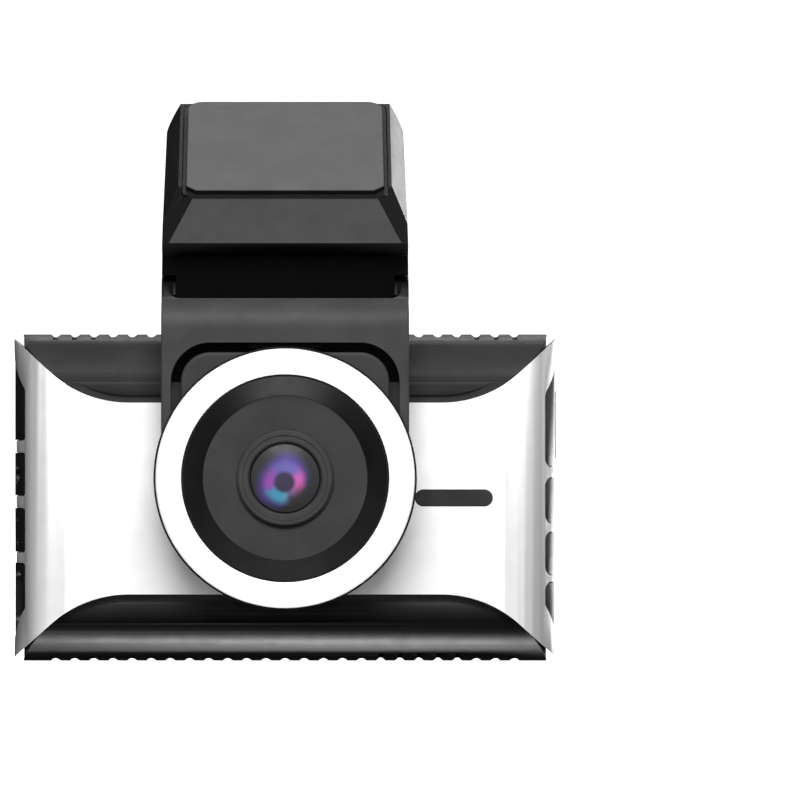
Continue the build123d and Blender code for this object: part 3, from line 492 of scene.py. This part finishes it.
# ------------------------------------------------------------------ the foam pad
def pad_outline(half, half_length):
    """The pad's outline: its front corners are cut off, and its back corners are rounded."""
    cut_x, cut_y = 1.7 * MM, 1.5 * MM
    corner, steps = 2.4 * MM, 6
    outline = [
        (-half, -half_length + cut_y),
        (-half + cut_x, -half_length),
        (half - cut_x, -half_length),
        (half, -half_length + cut_y),
    ]
    for side, first_turn in ((1, 0.0), (-1, math.pi / 2)):
        for n in range(steps + 1):
            turn = first_turn + math.pi / 2 * n / steps
            x = side * (half - corner) + corner * math.cos(turn)
            outline.append((x, half_length - corner + corner * math.sin(turn)))
    return outline


def foam_pad():
    """The foam pad: grey foam with softly rounded upper edges and sides in painted shade."""
    low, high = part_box("adhesive_pad")
    slope, thickness = math.radians(32.0), 0.9 * MM
    across = Vector((1, 0, 0))
    along = Vector((0, math.cos(slope), math.sin(slope)))
    up = Vector((0, -math.sin(slope), math.cos(slope)))
    half = (high.x - low.x) / 2
    length = (high.z - low.z - thickness * up.z) / along.z
    centre = Vector((0, low.y - up.y * thickness, low.z)) + along * length / 2
    outline = pad_outline(half, length / 2)
    # each layer is (height as a share of the thickness, inset in millimetres)
    layers = [(0.0, 0.0), (0.62, 0.0), (0.85, 0.07), (0.97, 0.2), (1.0, 0.42)]
    bm = bmesh.new()
    rings = []
    for rise, inset in layers:
        scale_x = 1 - inset * MM / half
        scale_y = 1 - inset * MM / (length / 2)
        ring = []
        for x, y in outline:
            point = centre + across * x * scale_x + along * y * scale_y + up * thickness * rise
            ring.append(bm.verts.new(point))
        rings.append(ring)
    for a, b in zip(rings, rings[1:]):
        for n in range(len(a)):
            m = (n + 1) % len(a)
            bm.faces.new((a[n], a[m], b[m], b[n]))
    bm.faces.new(rings[-1])
    bm.faces.new(list(reversed(rings[0])))
    bm.normal_update()
    # side faces take the second material, the painted shade
    for face in bm.faces:
        face.material_index = 1 if abs(face.normal.dot(up)) < 0.5 else 0
    obj = make_object("foam_pad", mesh_from(bm, "foam_pad", smooth=False), foam)
    obj.data.materials.append(foam_side_shade)
    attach(obj, "head")
    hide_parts("adhesive_pad")


foam_pad()


# ------------------------------------------------------------------ soft edges on the CAD pieces
def soften_edges(obj, width):
    weld = obj.modifiers.new("weld", "WELD")
    weld.merge_threshold = 0.002 * MM
    bevel = obj.modifiers.new("bevel", "BEVEL")
    bevel.width = width * MM
    bevel.segments = 2
    bevel.limit_method = "ANGLE"
    bevel.angle_limit = math.radians(32)
    bevel.use_clamp_overlap = True
    bevel.harden_normals = True


edge_widths = {
    "front_shell": 0.22,
    "core_housing": 0.15,
    "rear_bezel": 0.15,
    "lens_pod": 0.15,
    "bracket_frame": 0.25,
    "head_shell": 0.35,
    "head_cover": 0.2,
    "ring_trim": 0.08,
    "side_port_panel": 0.12,
    "power_key": 0.15,
    "menu_key": 0.15,
    "up_key": 0.15,
    "down_key": 0.15,
}
for name, width in edge_widths.items():
    soften_edges(nodes[name], width)


# ------------------------------------------------------------------ floor
def floor_bowl():
    """A wide white bowl: flat in the middle and curved up all around."""
    material = moulded(
        "floor_white",
        (0.93, 0.93, 0.93),
        rough=(0.75, 0.85),
        grain=0.01,
        grain_scale=2000,
        tone=0.01,
        specular=0.2,
    )
    shader_of(material).inputs["Emission Color"].default_value = (1, 1, 1, 1)
    shader_of(material).inputs["Emission Strength"].default_value = 1.0
    flat_radius, bend, wall_height, steps = 2.4, 0.6, 2.5, 16
    profile = [(0.0, 0.0), (0.0, 0.5), (0.0, flat_radius)]
    for n in range(1, steps + 1):
        turn = math.pi / 2 * n / steps
        profile.append((bend * (1 - math.cos(turn)), flat_radius + bend * math.sin(turn)))
    profile.append((wall_height, flat_radius + bend))

    def place(z, radius, turn):
        return radius * math.cos(turn), radius * math.sin(turn), z

    return make_object("floor", turned_mesh("floor", profile, place), material)


floor = floor_bowl()
# the floor only shows to the camera: it throws no light, reflection or shadow on the part
floor.visible_diffuse = False
floor.visible_glossy = False
floor.visible_shadow = False


# ------------------------------------------------------------------ light
def softbox(name, azimuth, elevation, distance, width, height, power, aim=(0.0, 0.0, 0.045)):
    """A soft area lamp; azimuth 0 is the lens side and 90 the part's +X side."""
    light = bpy.data.lights.new(name, "AREA")
    light.shape = "RECTANGLE"
    light.size, light.size_y = width, height
    light.energy = power
    obj = bpy.data.objects.new(name, light)
    bpy.context.scene.collection.objects.link(obj)
    a, e = math.radians(azimuth), math.radians(elevation)
    back = Vector((math.sin(a) * math.cos(e), -math.cos(a) * math.cos(e), math.sin(e)))
    obj.location = Vector(aim) + back * distance
    obj.rotation_euler = back.to_track_quat("Z", "Y").to_euler()
    return obj


softbox("key", 0, 43, 1.5, 1.0, 0.7, 38)
front = softbox("front", 0, 8, 2.2, 1.4, 0.9, 13)
# the front lamp lights the surfaces and doesn't show in them
front.visible_glossy = False
softbox("top", 0, 84, 1.2, 1.0, 0.6, 1.0)
# from below the floor, for the highlight along the body's lower roll
softbox("low_bounce", 0, -78, 0.6, 0.5, 0.10, 4.0, aim=(0, 0, 0))
softbox("rim_right", 150, 8, 0.95, 0.5, 0.9, 9.0, aim=(0.02, 0, 0.06))
softbox("edge_right", 100, 12, 0.9, 0.4, 0.7, 1.5)
softbox("back", 180, 42, 1.5, 0.8, 0.5, 8)

world = bpy.data.worlds.new("studio")
bpy.context.scene.world = world
world.use_nodes = True
world.node_tree.nodes["Background"].inputs["Color"].default_value = (1, 1, 1, 1)
world.node_tree.nodes["Background"].inputs["Strength"].default_value = 0.02


# ------------------------------------------------------------------ camera
view_width = 135.8 * MM
view_middle_x, view_middle_z = 19.5 * MM, 44.5 * MM
camera_data = bpy.data.cameras.new("camera")
camera_data.lens = 300
camera_data.sensor_width = 36
camera_data.shift_x = view_middle_x / view_width
camera_data.dof.use_dof = False
camera = bpy.data.objects.new("camera", camera_data)
bpy.context.scene.collection.objects.link(camera)
camera.location = (0, -view_width * camera_data.lens / camera_data.sensor_width, view_middle_z)
camera.rotation_euler = (math.pi / 2, 0, 0)
camera_data.clip_start, camera_data.clip_end = 0.05, 20
bpy.context.scene.camera = camera
bpy.context.scene.view_settings.view_transform = "Standard"
bpy.context.scene.view_settings.look = "None"
